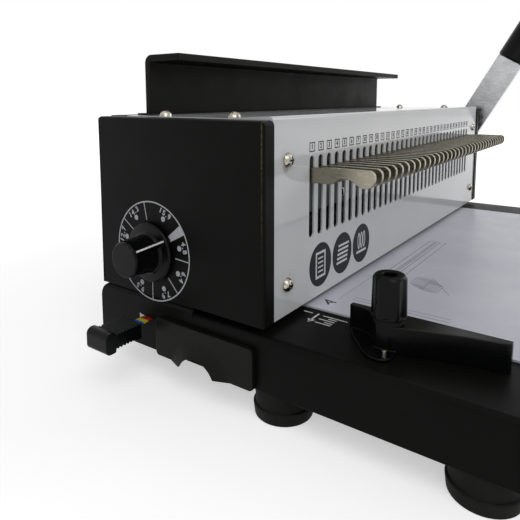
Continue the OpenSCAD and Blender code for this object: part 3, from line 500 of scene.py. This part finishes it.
def recess_faces(face):
    """The cross recesses: faces well below the dome of their screw's head."""
    centre = face.calc_center_median()
    # Middle of the dome's sphere behind the sheet, and height of a recess's floor before it
    ball, floor = 0.66, 1.1
    front = [at(x, ball, z) for x in (FRONT_SCREW_X, BODY_W - FRONT_SCREW_X) for z in FRONT_SCREW_ZS]
    top = [at(x, y, BODY_H - ball) for x in (TOP_SCREW_X, BODY_W - TOP_SCREW_X) for y in TOP_SCREW_YS]
    heads = []
    if centre.y < at(0, -floor, 0).y:
        heads += front
    if centre.z > at(0, 0, BODY_H + floor).z:
        heads += top
    return 1 if any(1.0 * MM < (centre - middle).length < 3.3 * MM for middle in heads) else 0


def board_faces(face):
    """The cut edges all round the sheet."""
    return 1 if abs(face.normal.z) < 0.5 else 0


SOFT = [
    ("base_shell", 0.4, "root", {}),
    ("left_cover", 0.3, "root", {"materials": [COVER]}),
    ("right_cover", 0.3, "root", {"materials": [COVER]}),
    ("top_cover", 0.12, "root", {"materials": [WHITE, SLOT_WALL_SHADE], "face_index": slot_faces}),
    ("rear_cover", 0.3, "root", {}),
    ("slot_trim", 0.2, "root", {}),
    ("cover_screws", 0.06, "root",
     {"materials": [SCREW, RECESS_SHADE], "face_index": recess_faces, "segments": 1}),
    ("rubber_feet", 0.4, "root", {}),
    ("table_plate", 0.08, "root",
     {"materials": [LAMINATE, BOARD], "face_index": board_faces, "segments": 1}),
    ("press_bar", 0.35, "carriage", {"materials": [BAR]}),
    ("fingers", 0.15, "carriage",
     {"materials": [NICKEL, NICKEL_PAINTED_SHADE], "face_index": finger_faces, "segments": 1}),
    ("finger_bar", 0.15, "carriage", {"segments": 1}),
    ("dial_knob", 0.3, "dial", {}),
    ("drawer_front", 0.45, "drawer", {"materials": [DRAWER]}),
    ("selector_grip", 0.2, "selector", {"materials": [GRIP]}),
    ("selector_strip", 0.1, "selector", {}),
    ("edge_guide", 0.35, "guide", {"materials": [GUIDE]}),
    ("lock_washer", 0.25, "guide", {}),
    ("guide_stud", 0.15, "guide", {}),
    ("lock_knob", 0.35, "lock", {}),
    ("handle_arm", 0.5, "handle", {}),
    ("handle_grip", 0.6, "handle", {}),
    ("hub_screw", 0.3, "handle", {}),
]
for name, width, body, extra in SOFT:
    softened(name, width, body, **extra)


def pressed_springs():
    """A copy of the return springs, moved onto the punch bar's body in place of the imported ones."""
    bm = bmesh.new()
    bm.from_mesh(nodes["punch_springs"].data)
    obj = new_piece("punch_springs_pressed", bm, "punch", "spring_steel", SPRING)
    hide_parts("punch_springs")
    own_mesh(obj)


pressed_springs()


# Prints: thin closed shapes that stand proud of the face that carries them

def plane(origin, right, up):
    """Matrix from millimetres in a printed face to the row frame; its third axis points out of the face."""
    right, up = Vector(right), Vector(up)
    turn = Matrix((right, up, right.cross(up))).transposed().to_4x4()
    return Matrix.Translation(at(*origin)) @ turn @ Matrix.Scale(MM, 4)


def patch(bm, points):
    bm.faces.new([bm.verts.new((u, v, 0)) for u, v in points])


def on_circle(radius, angle, centre=(0, 0)):
    a = math.radians(angle)
    return centre[0] + radius * math.cos(a), centre[1] + radius * math.sin(a)


def disc(bm, centre, radius, sides=32):
    patch(bm, [on_circle(radius, k * 360 / sides, centre) for k in range(sides)])


def band(bm, points, width, closed=False):
    """A line of even width along points, with mitred corners."""
    count = len(points)
    sides = []
    for i, point in enumerate(points):
        here = Vector(point)
        before = here - Vector(points[i - 1]) if closed or i else None
        after = Vector(points[(i + 1) % count]) - here if closed or i < count - 1 else None
        first = (before or after).normalized()
        second = (after or before).normalized()
        normals = [Vector((-d.y, d.x)) for d in (first, second)]
        mitre = (normals[0] + normals[1]) / (1 + normals[0].dot(normals[1])) * width / 2
        sides.append([bm.verts.new((*(here + sign * mitre), 0)) for sign in (1, -1)])
    for i in range(count if closed else count - 1):
        a, b = sides[i], sides[(i + 1) % count]
        bm.faces.new((a[0], a[1], b[1], b[0]))


def box_line(bm, left, low, right, high, width):
    band(bm, [(left, low), (right, low), (right, high), (left, high)], width, closed=True)


def glyphs(bm, text, size, centre, turn=0.0, spacing=1.0, weight=0.0, squeeze=1.0):
    """Plain numerals in Blender's own font, centred on a point and turned by degrees."""
    curve = bpy.data.curves.new("glyphs", "FONT")
    curve.body = text
    curve.size = size
    curve.align_x = "CENTER"
    curve.align_y = "CENTER"
    curve.space_character = spacing
    curve.offset = weight
    curve.resolution_u = 3
    holder = bpy.data.objects.new("glyphs", curve)
    bpy.context.scene.collection.objects.link(holder)
    bpy.context.view_layer.update()
    mesh = bpy.data.meshes.new_from_object(holder.evaluated_get(bpy.context.evaluated_depsgraph_get()))
    start = len(bm.verts)
    bm.from_mesh(mesh)
    bm.verts.ensure_lookup_table()
    place = (Matrix.Translation((*centre, 0)) @ Matrix.Rotation(math.radians(turn), 4, "Z")
             @ Matrix.Scale(squeeze, 4, (1, 0, 0)))
    bmesh.ops.transform(bm, matrix=place, verts=bm.verts[start:])
    bpy.data.objects.remove(holder)
    bpy.data.curves.remove(curve)
    bpy.data.meshes.remove(mesh)


def printed(name, bm, place, body, slot, ink_material, proud=0.05, sunk=0.05):
    bmesh.ops.remove_doubles(bm, verts=bm.verts, dist=1e-4)
    made = bmesh.ops.extrude_face_region(bm, geom=bm.faces[:])
    raised = [v for v in made["geom"] if isinstance(v, bmesh.types.BMVert)]
    bmesh.ops.translate(bm, verts=raised, vec=(0, 0, proud + sunk))
    bmesh.ops.translate(bm, verts=bm.verts, vec=(0, 0, -sunk))
    bmesh.ops.recalc_face_normals(bm, faces=bm.faces)
    bmesh.ops.transform(bm, matrix=place, verts=bm.verts)
    new_piece(name, bm, body, slot, ink_material, angle=20.0)


def dial_print():
    """Ring with eight size fields, a dot and a number in each, and a filled parking field."""
    bm = bmesh.new()
    band(bm, [on_circle(25.1, k * 3.75) for k in range(96)], 0.66, closed=True)
    for angle in (102, 145.2, 188.6, 225.3, -91.1, -46.8, -3.2):
        band(bm, [on_circle(16, angle), on_circle(24.8, angle)], 0.5)
    arc = [27.8 + k * (39.4 - 27.8) / 6 for k in range(7)]
    patch(bm, [on_circle(14.8, a) for a in arc] + [on_circle(24.8, a) for a in reversed(arc)])
    sizes = ("4.8", "6.4", "7.9", "9.5", "11.1", "12.7", "14.3", "15.9")
    for text, angle in zip(sizes, (13.5, -24.8, -66.8, -115, -155, 165.5, 125, 65)):
        disc(bm, on_circle(19.3, angle), 1.35)
        glyphs(bm, text, 3.8, on_circle(22.4, angle), angle - 90, spacing=1.3, weight=0.12)
    printed("dial_print", bm, plane((0, DIAL_Y, DIAL_Z), (0, -1, 0), UP), "root", "black_sheet", DIAL_INK)


def pointer_mark():
    """White line along the crest of the knob's pointer ridge, from the cap down to the skirt's rim."""
    turn = math.radians(33)
    radial = Vector((0, -math.cos(turn), math.sin(turn)))
    head = Vector((-17, DIAL_Y, DIAL_Z)) + 9 * radial
    foot = Vector((-3.4, DIAL_Y, DIAL_Z)) + 14.5 * radial
    along = (foot - head).normalized()
    outward = along.cross(radial.cross(along)).normalized()
    bm = bmesh.new()
    band(bm, [(0.3, 0), ((foot - head).length - 0.3, 0)], 0.85)
    place = plane(head, along, outward.cross(along))
    printed("pointer_mark", bm, place, "dial", "black_plastic", POINTER_INK)


def selector_mark():
    """Small triangle on the base that points at the selector's strip."""
    bm = bmesh.new()
    patch(bm, [(-78.1, -11.0), (-78.1, -13.4), (-73.9, -12.1)])
    printed("selector_mark", bm, plane((0, 0, 0), (0, -1, 0), UP), "root", "black_sheet", POINTER_INK)


def slot_numbers():
    """A number in a box above each slot."""
    bm = bmesh.new()
    for i in range(HOLES):
        x = MARGIN + i * PITCH
        box_line(bm, x - 2.3, 74.1, x + 2.3, 78.2, 0.5)
        glyphs(bm, str(i + 1), 3.4, (x, 76.15), weight=0.1, squeeze=1.0 if i < 9 else 0.7)
    printed("slot_numbers", bm, plane((0, 0, 0), RIGHT, UP), "root", "white_sheet", PANEL_INK)


def badges():
    """Three dark discs with plain pictograms: a page, a stack of sheets, and a wire loop."""
    place = plane((0, 0, 0), RIGHT, UP)
    page_x, stack_x, loop_x = 50.5, 74.5, 98.5
    z = 16.1
    dark = bmesh.new()
    for x in (page_x, stack_x, loop_x):
        disc(dark, (x, z), 11.2, 64)
    printed("badge_discs", dark, place, "root", "white_sheet", BADGE_INK)
    pale = bmesh.new()
    x = page_x
    box_line(pale, x - 4.4, z - 6.2, x + 4.4, z + 6.2, 1.2)
    for k in range(4):
        band(pale, [(x - 2.6, z + 3.4 - k * 2.3), (x + 2.6, z + 3.4 - k * 2.3)], 0.8)
    x = stack_x
    for k in range(5):
        band(pale, [(x - 6.6 + 0.5 * k, z - 4.6 + k * 2.3), (x + 5.6 + 0.5 * k, z - 4.6 + k * 2.3)], 1.2)
    x = loop_x
    for shift in (-3.4, 0, 3.4):
        loop = [(x + shift + 1.25 * math.cos(a), z + 1.8 + 4.4 * math.sin(a))
                for a in [k * math.pi / 12 for k in range(24)]]
        band(pale, loop, 0.8, closed=True)
    band(pale, [(x - 6.4, z - 4.6), (x + 6.4, z - 4.6)], 1.4)
    printed("badge_marks", pale, place, "root", "white_sheet", LIGHT_INK, proud=0.09, sunk=0.0)


def table_prints():
    """Scale marks on the black table, and thin drawings on the white sheet."""
    marks = bmesh.new()
    for x, y0, y1 in ((34.8, 0.0, -4.8), (34.8, -10.5, -23.2), (30.8, -10.5, -18.5),
                      (26.8, -10.5, -18.5), (32.9, -14.3, -18.5), (28.7, -14.3, -18.5)):
        band(marks, [(x, y0), (x, y1)], 0.62)
    band(marks, [(25.6, -7.8), (35.6, -7.8)], 0.8)
    patch(marks, [(25.0, -7.8), (28.4, -5.9), (28.4, -9.7)])
    table = plane((0, 0, TABLE_Z), RIGHT, BACK)
    printed("table_scale", marks, table, "root", "black_sheet", POINTER_INK)
    sheet = plane((0, 0, SHEET_Z), RIGHT, BACK)
    heavy = bmesh.new()
    band(heavy, [(46.2, -7.2), (50.8, -3.2), (50.2, -9.4)], 1.0)
    band(heavy, [(47.8, -5.8), (50.4, -7.6)], 0.9)
    printed("sheet_mark", heavy, sheet, "root", "table_laminate", HEAVY_INK)
    fine = bmesh.new()
    for k in range(22):
        band(fine, [(56 + k * 2.2, -8), (57.2 + k * 2.2, -8)], 0.3)
    for x in (59.0, 62.4):
        band(fine, [(x, -14), (x, -62)], 0.25)
    box_line(fine, 112, -18.5, 190, -11.5, 0.36)
    for k in range(26):
        box_line(fine, 113.6 + k * 2.95, -16.6, 115.2 + k * 2.95, -14.8, 0.3)
    band(fine, [(112, -22.5), (190, -22.5)], 0.3)
    for x in (112, 190):
        band(fine, [(x, -24), (x, -21)], 0.36)
    for k in range(7):
        box_line(fine, 92 + k * 1.1, -46 + k * 1.4, 104 + k * 1.1, -38 + k * 1.4, 0.22)
    for k in range(9):
        band(fine, [(93 + k * 2.4, -52 + k * 1.7), (94.2 + k * 2.4, -51.15 + k * 1.7)], 0.5)
    printed("sheet_drawings", fine, sheet, "root", "table_laminate", LINE_INK, proud=0.03)


for make_print in (dial_print, pointer_mark, selector_mark, slot_numbers, badges, table_prints):
    make_print()


# Stage, light and camera

def seen_white(tree):
    """Is 1 for the rays that see the background: camera, glossy and transmission rays."""
    path = add(tree, "ShaderNodeLightPath").outputs
    seen = math_node(tree, "MAXIMUM", path["Is Camera Ray"], path["Is Glossy Ray"])
    return math_node(tree, "MAXIMUM", seen, path["Is Transmission Ray"])


def make_floor():
    """A white disc, wide enough to reach the horizon."""
    bm = bmesh.new()
    bmesh.ops.create_circle(bm, cap_ends=True, segments=96, radius=4.0)
    mesh = bpy.data.meshes.new("floor")
    bm.to_mesh(mesh)
    bm.free()
    floor = bpy.data.objects.new("floor", mesh)
    bpy.context.scene.collection.objects.link(floor)
    made, tree, shader = material("floor_white", Specular_IOR_Level=0.0, Roughness=0.9)
    shader.inputs["Base Color"].default_value = (0.82, 0.82, 0.82, 1)
    shader.inputs["Emission Color"].default_value = (1, 1, 1, 1)
    # The floor keeps the shadow near the object and goes over into the white backdrop beyond it
    away = add(tree, "ShaderNodeVectorMath", {0: coords(tree)}, operation="LENGTH").outputs["Value"]
    glow = span(tree, away, 0.32, 1.1, 0.5, 1.0)
    link(tree, math_node(tree, "MULTIPLY", seen_white(tree), glow), shader, "Emission Strength")
    paint(floor, made)


def make_world(level):
    """Lights the object at that level, and is white where it is seen."""
    world = bpy.data.worlds.new("studio")
    bpy.context.scene.world = world
    world.use_nodes = True
    tree = world.node_tree
    back = tree.nodes["Background"]
    back.inputs["Color"].default_value = (1, 1, 1, 1)
    link(tree, span(tree, seen_white(tree), 0.0, 1.0, level, 1.0), back, "Strength")


def area_light(name, place, size, power):
    """A soft square lamp that looks at the middle of the machine."""
    data = bpy.data.lights.new(name, "AREA")
    data.shape = "RECTANGLE"
    data.size = data.size_y = size
    data.energy = power
    lamp = bpy.data.objects.new(name, data)
    bpy.context.scene.collection.objects.link(lamp)
    lamp.location = place
    to_middle = Vector((0, 0, 0.05)) - lamp.location
    lamp.rotation_euler = to_middle.to_track_quat("-Z", "Y").to_euler()


def make_camera():
    """Stands close to the front left corner, at a place fitted to the row of slots."""
    data = bpy.data.cameras.new("camera")
    camera = bpy.data.objects.new("camera", data)
    bpy.context.scene.collection.objects.link(camera)
    data.sensor_fit = "HORIZONTAL"
    data.sensor_width = 36.0
    data.lens = 35.919
    data.shift_x = -0.00897
    data.shift_y = -0.18593
    data.clip_start = 0.01
    data.clip_end = 30.0
    yaw, pitch, roll = (math.radians(turn) for turn in (54.6872, 7.1020, -0.0379))
    forward = Vector((math.sin(yaw) * math.cos(pitch), math.cos(yaw) * math.cos(pitch), -math.sin(pitch)))
    right = Vector((math.cos(yaw), -math.sin(yaw), 0.0))
    up = right.cross(forward)
    level = Matrix((right, up, -forward)).transposed().to_4x4()
    place = Matrix.Translation(at(-172.653, -123.557, 98.982))
    camera.matrix_world = place @ level @ Matrix.Rotation(roll, 4, "Z")
    bpy.context.scene.camera = camera


make_floor()
make_world(0.42)
area_light("key", (-1.3, -1.0, 1.9), 1.8, 17.0)
area_light("fill", (1.5, -1.3, 1.1), 1.2, 9.0)
make_camera()
bpy.context.scene.view_settings.view_transform = "Standard"
